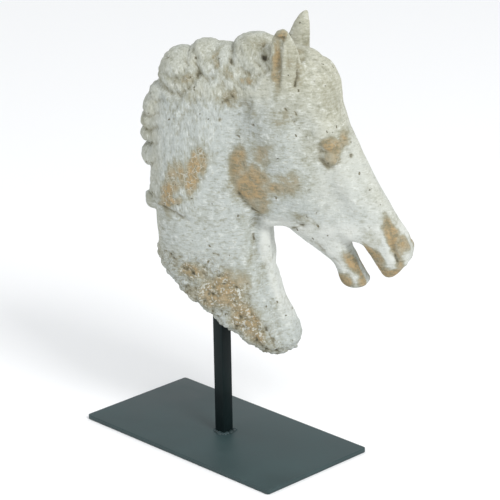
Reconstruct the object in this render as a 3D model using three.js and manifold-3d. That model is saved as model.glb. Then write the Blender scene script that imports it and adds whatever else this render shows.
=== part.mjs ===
// A horse's head and neck in a whitewashed driftwood finish, on a square steel bar over a steel plate.
// Millimetres, +Z up. The origin is the middle of the plate's underside, and +X runs along its long side.
// The head is shaped looking along its own +X, then turned on the bar, and its neck ends in a broken edge.
import * as THREE from "three";
import { mergeVertices } from "three/addons/utils/BufferGeometryUtils.js";
import Module from "manifold-3d";

const wasm = await Module();
wasm.setup();

const PLATE = { length: 225, width: 117, thickness: 4, corner: 2.5 };
const ROD = { side: 11, top: 150 };
const WELD = { reach: 2.4, height: 2.6, gap: 0.3, toe: 0.9, lip: 0.8 };
const SOCKET_GAP = 0.3;
const HEAD_TURN = THREE.MathUtils.degToRad(30);

// The bridge of the nose is a straight line: the face is measured along it from the poll, and out of it.
const POLL = { x: 60, z: 330 };
const FACE_SLOPE = THREE.MathUtils.degToRad(-62.4);

// Grid on which the head's surface is found, and the room that it is looked for in.
const CELL = 5.6;
const ROOM = { min: [-82, -50, 68], max: [182, 50, 390] };

// Sections of the skull and upper muzzle: how far along, its two edges across, half its width, and how
// much wider its lower edge is than the bridge.
const FACE = [
  { at: -16, low: -20, high: 12, half: 15, flare: 0.1 },
  { at: -4, low: -34, high: 27, half: 25, flare: 0.1 },
  { at: 12, low: -45, high: 34.5, half: 31, flare: 0.1 },
  { at: 28, low: -50, high: 34, half: 34, flare: 0.1 },
  { at: 45, low: -52, high: 27, half: 34, flare: 0.14 },
  { at: 62, low: -52, high: 24.3, half: 32, flare: 0.24 },
  { at: 85, low: -50, high: 23.5, half: 27, flare: 0.3 },
  { at: 110, low: -48, high: 23.3, half: 21.5, flare: 0.3 },
  { at: 135, low: -36, high: 24.5, half: 18, flare: 0.25 },
  { at: 152, low: -18, high: 25.4, half: 17.5, flare: 0.15 },
  { at: 165, low: -10, high: 26.3, half: 18.5, flare: 0.05 },
  { at: 178, low: -9.3, high: 24.8, half: 17.5, flare: 0 },
  { at: 188, low: -8.5, high: 15.5, half: 14, flare: 0 },
  { at: 195, low: -5, high: 4, half: 8, flare: 0 },
];

// The lower jaw, measured the same way, from under the cheeks to the lip that hangs open.
const JAW = [
  { at: 96, low: -64, high: -20, half: 22, flare: -0.1 },
  { at: 120, low: -61.3, high: -18, half: 20, flare: -0.15 },
  { at: 137, low: -53.3, high: -19, half: 17, flare: -0.1 },
  { at: 150, low: -46, high: -20, half: 14.5, flare: 0 },
  { at: 161, low: -41, high: -21.5, half: 12.5, flare: 0 },
  { at: 172, low: -43, high: -21.8, half: 13, flare: 0 },
  { at: 182, low: -42, high: -21.5, half: 12.5, flare: 0 },
  { at: 191, low: -34, high: -21, half: 10, flare: 0 },
];

// The neck, measured upwards, from its crest at the back to its throat in front.
const NECK = [
  { at: 86, low: 31, high: 62, half: 20, flare: 0 },
  { at: 97, low: 9, high: 69.8, half: 28, flare: 0 },
  { at: 115, low: -20.8, high: 62.6, half: 30, flare: 0 },
  { at: 135, low: -39.6, high: 54.4, half: 31, flare: 0 },
  { at: 160, low: -50.6, high: 46.4, half: 30.5, flare: 0.05 },
  { at: 195, low: -52.5, high: 43.6, half: 29.5, flare: 0.1 },
  { at: 225, low: -54, high: 50, half: 28, flare: 0.15 },
  { at: 260, low: -54.5, high: 56, half: 26.5, flare: 0.2 },
  { at: 290, low: -53, high: 60, half: 25, flare: 0.2 },
  { at: 315, low: -45, high: 60, half: 23, flare: 0.15 },
  { at: 333, low: -28, high: 58, half: 19, flare: 0.1 },
  { at: 344, low: -6, high: 50, half: 12, flare: 0 },
];

// The broken edge under the neck falls forwards, from the crest to the lobe under the throat.
const BREAK = { from: { x: -52, z: 156.5 }, to: { x: 34, z: 93 } };

// Locks of the mane along the crest, from the tuft behind the ears down to the last curl.
const LOCKS = [
  { x: 46, z: 341, along: 14, across: 14, half: 17 },
  { x: 33, z: 343, along: 18, across: 15.5, half: 18 },
  { x: -5, z: 336, along: 17, across: 16, half: 18 },
  { x: -30.5, z: 325, along: 15.8, across: 19, half: 17 },
  { x: -47, z: 301, along: 11.2, across: 11.5, half: 14 },
  { x: -56, z: 284, along: 9.5, across: 10, half: 13 },
  { x: -57.5, z: 267, along: 9.5, across: 10, half: 12 },
  { x: -57, z: 248, along: 8.5, across: 9, half: 11 },
  { x: -48, z: 229, along: 8, across: 12, half: 11 },
  { x: -55, z: 209.5, along: 9.5, across: 8.5, half: 11 },
];

// The two pricked ears, which aren't quite alike: the back and front edges of each at a few heights. The
// right one is at negative Y.
const EARS = [
  {
    side: -1,
    rungs: [
      { z: 312, back: 52, front: 76 },
      { z: 325, back: 53.5, front: 76 },
      { z: 340, back: 54, front: 77 },
      { z: 350, back: 54.5, front: 75 },
      { z: 360, back: 55.5, front: 71 },
      { z: 369, back: 60.5, front: 67 },
    ],
  },
  {
    side: 1,
    rungs: [
      { z: 312, back: 50, front: 75 },
      { z: 330, back: 51, front: 73 },
      { z: 345, back: 53, front: 73 },
      { z: 354, back: 57, front: 73 },
      { z: 362, back: 60.5, front: 72.8 },
      { z: 373, back: 66.5, front: 71.5 },
    ],
  },
];
const EAR_SPREAD = { low: 312, high: 370, outAtLow: 22, outAtHigh: 25.5, thickAtLow: 8.5, thickAtHigh: 4.5 };

const CHEEK = { x: 57, z: 248.5, y: 13, reach: 44, drop: 47.8, half: 17 };
const EYE = { x: 99.5, y: 25, z: 270, radius: 8.2 };
const BROW = { x: 93, y: 23, z: 281, long: 12, high: 8, thick: 8 };
const NOSTRIL = { x: 155, y: 18, z: 186, long: 11, wide: 4.5, deep: 6 };
const MOUTH = { at: 158.5, across: -14.6, half: 7.2 };

// How square the sections are, where 2 is an ellipse, and the reach of each soft fillet.
const SQUARENESS = 2.5;
const FILLET = {
  skull: 12,
  jaw: 7,
  lip: 3,
  end: 5,
  broken: 9,
  lock: 4,
  mane: 6,
  cheek: 9,
  brow: 6,
  eye: 8,
  ear: 6,
  earTip: 3,
  nostril: 4,
};

// Step over which the slope of a distance is taken.
const SLOPE_STEP = 0.4;

// ---- Distances, negative inside ----

// Union of two bodies with a soft fillet of the given reach between them.
function blend(a, b, reach) {
  const h = Math.max(reach - Math.abs(a - b), 0) / reach;
  return Math.min(a, b) - (h * h * reach) / 4;
}

// The first body with the second one taken out of it.
function carve(a, b, reach) {
  return -blend(-a, b, reach);
}

// An ellipsoid given by how far the point is from its middle and by its three radii.
function ellipsoid(dx, dy, dz, rx, ry, rz) {
  const far = Math.hypot(dx / rx, dy / ry, dz / rz);
  const steep = Math.hypot(dx / (rx * rx), dy / (ry * ry), dz / (rz * rz));
  return steep > 0 ? (far * (far - 1)) / steep : -Math.min(rx, ry, rz);
}

// The section at a place along a body, between the two that are given on either side of it.
function sectionAt(sections, at) {
  let i = 1;
  while (i < sections.length - 1 && at > sections[i].at) i += 1;
  const a = sections[i - 1];
  const b = sections[i];
  const t = THREE.MathUtils.clamp((at - a.at) / (b.at - a.at), 0, 1);
  const mix = (key) => THREE.MathUtils.lerp(a[key], b[key], t);
  return { low: mix("low"), high: mix("high"), half: mix("half"), flare: mix("flare") };
}

// A body of rounded sections strung along an axis.
function loft(sections, at, across, side) {
  const s = sectionAt(sections, at);
  const tall = (s.high - s.low) / 2;
  const v = (across - (s.high + s.low) / 2) / tall;
  const wide = s.half * (1 - s.flare * THREE.MathUtils.clamp(v, -1, 1));
  const far = (Math.abs(v) ** SQUARENESS + Math.abs(side / wide) ** SQUARENESS) ** (1 / SQUARENESS);
  const skin = (far - 1) * Math.min(tall, wide);
  const first = sections[0].at;
  const last = sections[sections.length - 1].at;
  return -blend(-skin, -Math.max(first - at, at - last), FILLET.end);
}

// ---- The head's own forms ----

function neck(x, y, z) {
  const length = Math.hypot(BREAK.to.x - BREAK.from.x, BREAK.to.z - BREAK.from.z);
  const nx = (BREAK.to.z - BREAK.from.z) / length;
  const nz = -(BREAK.to.x - BREAK.from.x) / length;
  const below = (x - BREAK.from.x) * nx + (z - BREAK.from.z) * nz;
  return -blend(-loft(NECK, z, x, y), -below, FILLET.broken);
}

function mane(x, y, z) {
  return LOCKS.map((k) => ellipsoid(x - k.x, y, z - k.z, k.along, k.half, k.across)).reduce(
    (all, lock) => blend(all, lock, FILLET.lock),
  );
}

function muzzleAndJaw(x, y, z) {
  const dx = x - POLL.x;
  const dz = z - POLL.z;
  const at = dx * Math.cos(FACE_SLOPE) + dz * Math.sin(FACE_SLOPE);
  const across = -dx * Math.sin(FACE_SLOPE) + dz * Math.cos(FACE_SLOPE);
  const both = blend(loft(FACE, at, across, y), loft(JAW, at, across, y), FILLET.jaw);
  const slot = Math.hypot(Math.min(at - MOUTH.at, 0), across - MOUTH.across) - MOUTH.half;
  return carve(both, slot, FILLET.lip);
}

function cheek(x, y, z) {
  return ellipsoid(x - CHEEK.x, y - CHEEK.y, z - CHEEK.z, CHEEK.reach, CHEEK.half, CHEEK.drop);
}

function eyeAndBrow(x, y, z) {
  const ball = Math.hypot(x - EYE.x, y - EYE.y, z - EYE.z) - EYE.radius;
  const brow = ellipsoid(x - BROW.x, y - BROW.y, z - BROW.z, BROW.long, BROW.thick, BROW.high);
  return blend(ball, brow, FILLET.brow);
}

// One ear, as a leaf whose two edges follow the rungs given for it.
function ear(shape, x, side, z) {
  const rungs = shape.rungs;
  let i = 1;
  while (i < rungs.length - 1 && z > rungs[i].z) i += 1;
  const t = THREE.MathUtils.clamp((z - rungs[i - 1].z) / (rungs[i].z - rungs[i - 1].z), 0, 1);
  const back = THREE.MathUtils.lerp(rungs[i - 1].back, rungs[i].back, t);
  const front = THREE.MathUtils.lerp(rungs[i - 1].front, rungs[i].front, t);
  const up = THREE.MathUtils.clamp((z - EAR_SPREAD.low) / (EAR_SPREAD.high - EAR_SPREAD.low), 0, 1);
  const out = side * shape.side - THREE.MathUtils.lerp(EAR_SPREAD.outAtLow, EAR_SPREAD.outAtHigh, up);
  const thick = THREE.MathUtils.lerp(EAR_SPREAD.thickAtLow, EAR_SPREAD.thickAtHigh, up);
  const wide = (front - back) / 2;
  const far = Math.hypot((x - (front + back) / 2) / wide, out / thick);
  const leaf = (far - 1) * Math.min(wide, thick);
  return -blend(-leaf, -Math.max(rungs[0].z - z, z - rungs[rungs.length - 1].z), FILLET.earTip);
}

function nostril(x, y, z) {
  return ellipsoid(x - NOSTRIL.x, y - NOSTRIL.y, z - NOSTRIL.z, NOSTRIL.wide, NOSTRIL.deep, NOSTRIL.long);
}

// The whole head. Only the ears tell its two sides apart: the rest goes by the distance from the middle plane.
function head(x, side, z) {
  const y = Math.abs(side);
  let d = blend(neck(x, y, z), muzzleAndJaw(x, y, z), FILLET.skull);
  d = blend(d, mane(x, y, z), FILLET.mane);
  d = blend(d, cheek(x, y, z), FILLET.cheek);
  d = blend(d, eyeAndBrow(x, y, z), FILLET.eye);
  d = EARS.reduce((all, shape) => blend(all, ear(shape, x, side, z), FILLET.ear), d);
  return carve(d, nostril(x, y, z), FILLET.nostril);
}

// ---- From a distance to a mesh ----

const CORNERS = [0, 1, 2, 3, 4, 5, 6, 7].map((i) => [i & 1, (i >> 1) & 1, i >> 2]);
const EDGES = CORNERS.flatMap((_, a) => [1, 2, 4].filter((bit) => !(a & bit)).map((bit) => [a, a | bit]));

// Moves a point onto the surface along the way that the distance changes fastest.
function settle(field, p) {
  const h = SLOPE_STEP;
  for (let pass = 0; pass < 3; pass += 1) {
    const d = field(...p);
    const slope = p.map((_, k) => {
      const ahead = p.map((c, j) => (j === k ? c + h : c));
      const behind = p.map((c, j) => (j === k ? c - h : c));
      return (field(...ahead) - field(...behind)) / (2 * h);
    });
    const steep = Math.max(slope[0] ** 2 + slope[1] ** 2 + slope[2] ** 2, 0.05);
    const step = THREE.MathUtils.clamp(d / steep, -CELL / 4, CELL / 4);
    slope.forEach((g, k) => {
      p[k] -= step * g;
    });
  }
  return p;
}

// The mean of the places where the surface crosses a cell's edges, or null where it crosses none.
function crossing(values, corner, cell) {
  const mean = [0, 0, 0];
  let count = 0;
  for (const [a, b] of EDGES) {
    if (values[a] < 0 === values[b] < 0) continue;
    const t = values[a] / (values[a] - values[b]);
    mean.forEach((_, k) => {
      mean[k] += CORNERS[a][k] + t * (CORNERS[b][k] - CORNERS[a][k]);
    });
    count += 1;
  }
  return count === 0 ? null : mean.map((m, k) => corner[k] + (m / count) * cell);
}

// A closed mesh round everything where the distance is negative: one point in each cell that the surface
// passes through, and a face across each grid edge that it crosses.
function meshOf(field, room, cell) {
  const size = room.min.map((low, k) => Math.ceil((room.max[k] - low) / cell));
  const stride = [1, size[0] + 1, (size[0] + 1) * (size[1] + 1)];
  const place = (i, j, k) => [i, j, k].map((n, axis) => room.min[axis] + n * cell);
  const values = new Float64Array(stride[2] * (size[2] + 1));
  for (let k = 0; k <= size[2]; k += 1)
    for (let j = 0; j <= size[1]; j += 1)
      for (let i = 0; i <= size[0]; i += 1)
        values[i + j * stride[1] + k * stride[2]] = field(...place(i, j, k));

  const points = [];
  const pointOf = new Map();
  for (let k = 0; k < size[2]; k += 1)
    for (let j = 0; j < size[1]; j += 1)
      for (let i = 0; i < size[0]; i += 1) {
        const at = i + j * stride[1] + k * stride[2];
        const eight = CORNERS.map(([a, b, c]) => values[at + a + b * stride[1] + c * stride[2]]);
        const point = crossing(eight, place(i, j, k), cell);
        if (point === null) continue;
        pointOf.set(at, points.length);
        points.push(settle(field, point));
      }

  const faces = [];
  for (const at of pointOf.keys())
    for (let axis = 0; axis < 3; axis += 1) {
      const u = stride[(axis + 1) % 3];
      const v = stride[(axis + 2) % 3];
      const inside = values[at] < 0;
      if (inside === values[at + stride[axis]] < 0) continue;
      const ring = [at - u - v, at - v, at, at - u].map((cellAt) => pointOf.get(cellAt));
      const [a, b, c, d] = inside ? ring : ring.reverse();
      faces.push(a, b, c, a, c, d);
    }
  const geometry = new THREE.BufferGeometry();
  geometry.setAttribute("position", new THREE.Float32BufferAttribute(points.flat(), 3));
  geometry.setIndex(faces);
  return geometry;
}

// ---- Joins and cuts ----

function solidOf(geometry) {
  const bare = geometry.clone();
  bare.deleteAttribute("normal");
  bare.deleteAttribute("uv");
  const merged = mergeVertices(bare, 1e-4);
  const vertProperties = merged.attributes.position.array;
  const triVerts = new Uint32Array(merged.index.array);
  return new wasm.Manifold(new wasm.Mesh({ numProp: 3, vertProperties, triVerts }));
}

function geometryOf(solid) {
  const mesh = solid.getMesh();
  const geometry = new THREE.BufferGeometry();
  geometry.setAttribute("position", new THREE.Float32BufferAttribute(mesh.vertProperties, mesh.numProp));
  geometry.setIndex(new THREE.Uint32BufferAttribute(mesh.triVerts, 1));
  geometry.computeVertexNormals();
  return geometry;
}

// A square prism that stands on the plate, between two heights.
function squareBar(side, bottom, top) {
  return new THREE.BoxGeometry(side, side, top - bottom).translate(0, 0, (top + bottom) / 2);
}

// ---- The pieces ----

function basePlate() {
  const x = PLATE.length / 2;
  const y = PLATE.width / 2;
  const r = PLATE.corner;
  const outline = new THREE.Shape();
  outline.absarc(x - r, y - r, r, 0, Math.PI / 2);
  outline.absarc(r - x, y - r, r, Math.PI / 2, Math.PI);
  outline.absarc(r - x, r - y, r, Math.PI, 1.5 * Math.PI);
  outline.absarc(x - r, r - y, r, 1.5 * Math.PI, 2 * Math.PI);
  return new THREE.ExtrudeGeometry(outline, { depth: PLATE.thickness, bevelEnabled: false, curveSegments: 5 });
}

function standRod() {
  return squareBar(ROD.side, PLATE.thickness, ROD.top);
}

// The weld runs round the foot of the bar, as a low sloped collar.
function weldBead() {
  const inner = ROD.side / 2 + WELD.gap;
  const outer = inner + WELD.reach;
  const z0 = PLATE.thickness + WELD.gap;
  const z1 = z0 + WELD.height;
  const profile = [
    new THREE.Vector2(inner * Math.SQRT2, z0),
    new THREE.Vector2(outer * Math.SQRT2, z0),
    new THREE.Vector2(outer * Math.SQRT2, z0 + WELD.toe),
    new THREE.Vector2((inner + WELD.lip) * Math.SQRT2, z1),
    new THREE.Vector2(inner * Math.SQRT2, z1),
    new THREE.Vector2(inner * Math.SQRT2, z0),
  ];
  const collar = new THREE.LatheGeometry(profile, 4, Math.PI / 4);
  return collar.rotateX(Math.PI / 2);
}

// The head in its place on the plate, with a square hole in its underside that the bar goes up into.
function horseHead() {
  const body = meshOf(head, ROOM, CELL).rotateZ(HEAD_TURN);
  const hole = squareBar(ROD.side + 2 * SOCKET_GAP, 0, ROD.top + SOCKET_GAP);
  return geometryOf(solidOf(body).subtract(solidOf(hole)));
}

// ---- The finishes ----

const whitewash = new THREE.MeshStandardMaterial({ color: "#c9ccc4", roughness: 0.9, metalness: 0 });
const plateSteel = new THREE.MeshStandardMaterial({ color: "#505c5c", roughness: 0.55, metalness: 0.3 });
const rodSteel = new THREE.MeshStandardMaterial({ color: "#1e2628", roughness: 0.5, metalness: 0.3 });

// ---- The sculpture ----

const group = new THREE.Group();

function add(name, geometry, material) {
  const mesh = new THREE.Mesh(geometry, material);
  mesh.name = name;
  group.add(mesh);
}

add("base_plate", basePlate(), plateSteel);
add("stand_rod", standRod(), rodSteel);
add("weld_bead", weldBead(), rodSteel);
add("horse_head", horseHead(), whitewash);

export default group;
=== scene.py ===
"""A cast horse's head in a whitewashed driftwood finish, on a steel bar and plate.

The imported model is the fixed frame: the plate lies on the floor, the square bar stands in its middle and the
head is fixed on the bar, turned towards one corner of the plate. This script makes the fine surface of each
piece and its finish. The head is worked out in its own millimetres, looking along its own +X, with its left
side at +Y, and is then turned and scaled into the frame, which is in metres.
"""

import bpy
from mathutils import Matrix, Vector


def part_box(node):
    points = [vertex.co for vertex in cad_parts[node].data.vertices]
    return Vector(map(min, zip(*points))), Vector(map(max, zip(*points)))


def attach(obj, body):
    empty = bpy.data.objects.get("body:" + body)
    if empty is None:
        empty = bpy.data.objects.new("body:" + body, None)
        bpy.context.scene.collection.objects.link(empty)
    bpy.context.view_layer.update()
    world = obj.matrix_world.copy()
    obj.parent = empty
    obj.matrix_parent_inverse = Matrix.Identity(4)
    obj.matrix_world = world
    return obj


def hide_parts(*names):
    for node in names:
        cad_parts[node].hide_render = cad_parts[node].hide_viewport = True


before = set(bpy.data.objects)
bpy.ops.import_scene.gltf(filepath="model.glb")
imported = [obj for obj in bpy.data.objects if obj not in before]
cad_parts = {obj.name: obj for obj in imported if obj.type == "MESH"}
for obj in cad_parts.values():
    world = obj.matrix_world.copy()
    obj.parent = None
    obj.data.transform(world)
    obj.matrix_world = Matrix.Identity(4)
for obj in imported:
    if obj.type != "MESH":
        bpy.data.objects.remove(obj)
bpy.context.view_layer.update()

import logging
import math
from collections.abc import Callable, Sequence
from dataclasses import dataclass, field
from enum import Enum

import bmesh
import bpy
import numpy as np
from mathutils import Matrix, Vector

log = logging.getLogger("horse_head")

MM = 0.001
TINY = 1e-6
HEAD_TURN = math.radians(30.0)


# ---------------------------------------------------------------------------------------------------------
# Small helpers
# ---------------------------------------------------------------------------------------------------------


def linear(hex_code: str) -> tuple[float, float, float, float]:
    """Turn an sRGB hex colour into the linear colour that a shader takes.

    Args:
        hex_code: The colour as "#rrggbb".

    Returns:
        Red, green, blue and a full alpha.
    """
    channels = [int(hex_code[i : i + 2], 16) / 255 for i in (1, 3, 5)]
    red, green, blue = (c / 12.92 if c <= 0.04045 else ((c + 0.055) / 1.055) ** 2.4 for c in channels)
    return red, green, blue, 1.0


def add_node(
    tree: bpy.types.NodeTree, kind: str, inputs: dict[int | str, object] | None = None, **settings: object
) -> bpy.types.Node:
    """Add one node with its settings, and fill or link its inputs.

    Where inputs go by place, a Mix node's are its amount (0) and its two values (2 and 3) or colours (6 and
    7), and a Map Range node's are its value (0), the range it comes from (1 and 2) and goes to (3 and 4).

    Args:
        tree: The node tree that gets it.
        kind: The node's type name.
        inputs: What goes into each input, by name or place: a value, or an output to link.
        **settings: Properties to set on the node.

    Returns:
        The new node.
    """
    node = tree.nodes.new(kind)
    for name, value in settings.items():
        setattr(node, name, value)
    for key, value in (inputs or {}).items():
        if isinstance(value, bpy.types.NodeSocket):
            tree.links.new(value, node.inputs[key])
        else:
            node.inputs[key].default_value = value
    return node


def link_object(name: str, mesh: bpy.types.Mesh) -> bpy.types.Object:
    """Put a mesh in the scene.

    Args:
        name: The object's name.
        mesh: Its mesh, with its place in it.

    Returns:
        The object, which stands at the origin.
    """
    piece = bpy.data.objects.new(name, mesh)
    bpy.context.scene.collection.objects.link(piece)
    return piece


def shade_smooth(mesh: bpy.types.Mesh, smooth: bool = True) -> None:
    """Make every face of the mesh smooth, or flat."""
    mesh.polygons.foreach_set("use_smooth", [smooth] * len(mesh.polygons))


def ease(low: float, high: float, value: np.ndarray) -> np.ndarray:
    """Go smoothly from 0 at low to 1 at high."""
    t = np.clip((value - low) / (high - low), 0.0, 1.0)
    return t * t * (3.0 - 2.0 * t)


# ---------------------------------------------------------------------------------------------------------
# Distances: negative inside a form, in millimetres
# ---------------------------------------------------------------------------------------------------------


def blend(a: np.ndarray, b: np.ndarray, reach: float) -> np.ndarray:
    """Join two forms with a fillet of the given reach."""
    h = np.maximum(reach - np.abs(a - b), 0.0) / reach
    return np.minimum(a, b) - h * h * reach / 4.0


def carve(a: np.ndarray, b: np.ndarray, reach: float) -> np.ndarray:
    """Take the second form out of the first, with an edge softened over the given reach."""
    return -blend(-a, b, reach)


def ellipsoid(dx: np.ndarray, dy: np.ndarray, dz: np.ndarray, rx: float, ry: float, rz: float) -> np.ndarray:
    """Distance to an ellipsoid.

    Args:
        dx: How far forwards of its middle each point is.
        dy: How far to its side.
        dz: How far up.
        rx: Its radius forwards.
        ry: Its radius sideways.
        rz: Its radius upwards.

    Returns:
        The distances, negative inside.
    """
    far = np.sqrt((dx / rx) ** 2 + (dy / ry) ** 2 + (dz / rz) ** 2)
    steep = np.sqrt((dx / rx**2) ** 2 + (dy / ry**2) ** 2 + (dz / rz**2) ** 2)
    return far * (far - 1.0) / np.maximum(steep, TINY)


# Large odd numbers that scramble a cell's place and a seed into a random whole number of 31 bits.
CELL_KEYS = np.array([374761393, 668265263, 1274126177])
SEED_KEY = 974634777
SCRAMBLES = ((13, 1103515245), (15, 12820163))
ALL_BITS = 0x7FFFFFFF
SEED_SHIFT = 17.3


def noise(points: np.ndarray, size: float, seed: int, octaves: int = 3) -> np.ndarray:
    """Smooth random values from -1 to 1 over space.

    Args:
        points: Places, one row each.
        size: How far apart the coarsest bumps are.
        seed: Which pattern.
        octaves: How many finer layers are added, each half the size and strength.

    Returns:
        One value for each place.
    """
    total = np.zeros(len(points))
    strength, sum_of = 1.0, 0.0
    for layer in range(octaves):
        p = points / size + SEED_SHIFT * (seed + layer)
        base = np.floor(p)
        t = p - base
        t = t * t * (3.0 - 2.0 * t)
        cell = base.astype(np.int64)
        value = np.zeros(len(points))
        for corner in range(8):
            step = np.array([corner & 1, corner >> 1 & 1, corner >> 2])
            key = (cell + step) @ CELL_KEYS + (seed + layer) * SEED_KEY
            for shift, factor in SCRAMBLES:
                key = (key ^ (key >> shift)) * factor & ALL_BITS
            weight = np.prod(np.where(step == 1, t, 1.0 - t), axis=1)
            value += weight * (key / (ALL_BITS // 2) - 1.0)
        total += value * strength
        sum_of += strength
        strength *= 0.5
        size *= 0.5
    return total / sum_of


@dataclass(frozen=True)
class Section:
    """One section of a body strung along an axis: its place, its two edges across, half its width, and how
    much wider its low edge is than its high one."""

    at: float
    low: float
    high: float
    half: float
    flare: float = 0.0


class Loft:
    """A body of rounded sections that change smoothly along an axis."""

    STEP = 1.0
    SMOOTHING = 13

    def __init__(self, sections: Sequence[Section], power: float = 2.5, cap: float = 5.0) -> None:
        """Work out evenly spaced sections from the given ones.

        Args:
            sections: The sections, in order along the axis.
            power: How square a section is: 2 is an ellipse.
            cap: How round the two ends are.
        """
        self.power = power
        self.cap = cap
        self.first = sections[0].at
        self.last = sections[-1].at
        self.at = np.arange(self.first, self.last + self.STEP, self.STEP)
        given = [s.at for s in sections]
        window = np.hanning(self.SMOOTHING + 2)[1:-1]
        window /= window.sum()
        pad = self.SMOOTHING // 2
        self.table = []
        for key in ("low", "high", "half", "flare"):
            values = np.interp(self.at, given, [getattr(s, key) for s in sections])
            slope0, slope1 = values[1] - values[0], values[-1] - values[-2]
            before = values[0] - slope0 * np.arange(pad, 0, -1)
            after = values[-1] + slope1 * np.arange(1, pad + 1)
            self.table.append(np.convolve(np.concatenate([before, values, after]), window, mode="valid"))

    def distance(self, at: np.ndarray, across: np.ndarray, side: np.ndarray) -> np.ndarray:
        """Distance to the body's skin.

        Args:
            at: How far along the axis each point is.
            across: How far across it, in the plane of symmetry.
            side: How far out of that plane.

        Returns:
            The distance of each point.
        """
        low, high, half, flare = (np.interp(at, self.at, values) for values in self.table)
        tall = (high - low) / 2.0
        v = (across - (high + low) / 2.0) / tall
        wide = half * (1.0 - flare * np.clip(v, -1.0, 1.0))
        far = (np.abs(v) ** self.power + np.abs(side / wide) ** self.power) ** (1.0 / self.power)
        skin = (far - 1.0) * np.minimum(tall, wide)
        return -blend(-skin, -np.maximum(self.first - at, at - self.last), self.cap)


@dataclass(frozen=True)
class Mass:
    """A rounded mass: its middle, its radii forwards, sideways and upwards, its tilt forwards from upright in
    degrees, and the fillet that joins it to the head."""

    x: float
    y: float
    z: float
    forward: float
    side: float
    up: float
    tilt: float = 0.0
    reach: float = 6.0

    def distance(self, x: np.ndarray, y: np.ndarray, z: np.ndarray) -> np.ndarray:
        """Distance to the mass.

        Args:
            x: How far forwards each point is.
            y: How far out to the side.
            z: How high.

        Returns:
            The distance of each point.
        """
        c, s = math.cos(math.radians(self.tilt)), math.sin(math.radians(self.tilt))
        dx, dz = x - self.x, z - self.z
        return ellipsoid(dx * c - dz * s, y - self.y, dx * s + dz * c, self.forward, self.side, self.up)


class SurfaceNet:
    """Finds the surface where a distance is zero, as a closed mesh of even quads."""

    BLOCK = 4
    BAND = 8.0

    def __init__(self, low: Sequence[float], high: Sequence[float], cell: float) -> None:
        """Lay a grid over a room.

        Args:
            low: The room's lowest corner.
            high: Its highest corner.
            cell: The grid's spacing.
        """
        self.low = np.array(low, dtype=float)
        self.cell = cell
        blocks = np.ceil((np.array(high) - self.low) / (cell * self.BLOCK)).astype(int)
        self.shape = tuple(int(n) for n in blocks * self.BLOCK)
        self.blocks = tuple(int(n) for n in blocks)

    def sample(self, distance: Callable[[np.ndarray], np.ndarray]) -> np.ndarray:
        """Work out the distances at the grid's points.

        Args:
            distance: Gives the distance of each row of points.

        Returns:
            The grid's values: exact near the surface, and only of the right sign far from it.
        """
        middles = np.indices(self.blocks).reshape(3, -1).T * self.BLOCK + (self.BLOCK - 1) / 2.0
        coarse = distance(self.low + middles * self.cell).reshape(self.blocks)
        values = np.clip(coarse, -self.BAND, self.BAND)
        for axis in range(3):
            values = np.repeat(values, self.BLOCK, axis=axis)
        near = np.flatnonzero(np.abs(values.ravel()) < self.BAND)
        places = np.array(np.unravel_index(near, self.shape)).T
        values.ravel()[near] = distance(self.low + places * self.cell)
        return values

    def extract(self, distance: Callable[[np.ndarray], np.ndarray]) -> tuple[np.ndarray, np.ndarray]:
        """Make the mesh.

        Args:
            distance: Gives the distance of each row of points.

        Returns:
            The mesh's points and its quads, which face outwards.
        """
        values = self.sample(distance)
        inside = values < 0.0
        cells = tuple(n - 1 for n in self.shape)
        corners = [(i & 1, i >> 1 & 1, i >> 2) for i in range(8)]

        def part(array: np.ndarray, corner: tuple[int, int, int]) -> np.ndarray:
            """The value at one corner of every cell."""
            return array[tuple(slice(c, c + n) for c, n in zip(corner, cells))]

        count = sum(part(inside, corner).astype(np.int8) for corner in corners)
        crossed = np.argwhere((count > 0) & (count < 8))
        at_corner = np.stack([values[tuple((crossed + corner).T)] for corner in corners], axis=1)
        total = np.zeros((len(crossed), 3))
        crossings = np.zeros(len(crossed))
        for a in range(8):
            for bit in (1, 2, 4):
                if a & bit:
                    continue
                va, vb = at_corner[:, a], at_corner[:, a | bit]
                cut = (va < 0.0) != (vb < 0.0)
                t = va / np.where(cut, va - vb, 1.0)
                edge = np.array(corners[a | bit]) - np.array(corners[a])
                total += np.where(cut[:, None], np.array(corners[a]) + t[:, None] * edge, 0.0)
                crossings += cut
        points = self.low + (crossed + total / crossings[:, None]) * self.cell
        index = np.full(cells, -1, dtype=np.int64)
        index[tuple(crossed.T)] = np.arange(len(crossed))
        return points, self.quads(inside, index)

    @staticmethod
    def quads(inside: np.ndarray, index: np.ndarray) -> np.ndarray:
        """Make one quad round each grid edge that the surface crosses, from the four cells that share it.

        Args:
            inside: Whether each of the grid's points is inside.
            index: The number of each cell's point, or -1.

        Returns:
            The quads, as the numbers of their four points.
        """
        made = []
        for axis in range(3):
            step = [np.eye(3, dtype=int)[(axis + k) % 3] for k in range(3)]
            upper = inside.take(range(1, inside.shape[axis]), axis=axis)
            lower = inside.take(range(inside.shape[axis] - 1), axis=axis)
            edges = np.argwhere(upper != lower)
            ring = [edges - step[1] - step[2], edges - step[2], edges, edges - step[1]]
            quad = np.stack([index[tuple(cell.T)] for cell in ring], axis=1)
            starts_inside = lower[tuple(edges.T)]
            made.append(np.where(starts_inside[:, None], quad, quad[:, ::-1]))
        return np.concatenate(made)


# ---------------------------------------------------------------------------------------------------------
# Camera, light and floor
# ---------------------------------------------------------------------------------------------------------


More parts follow.
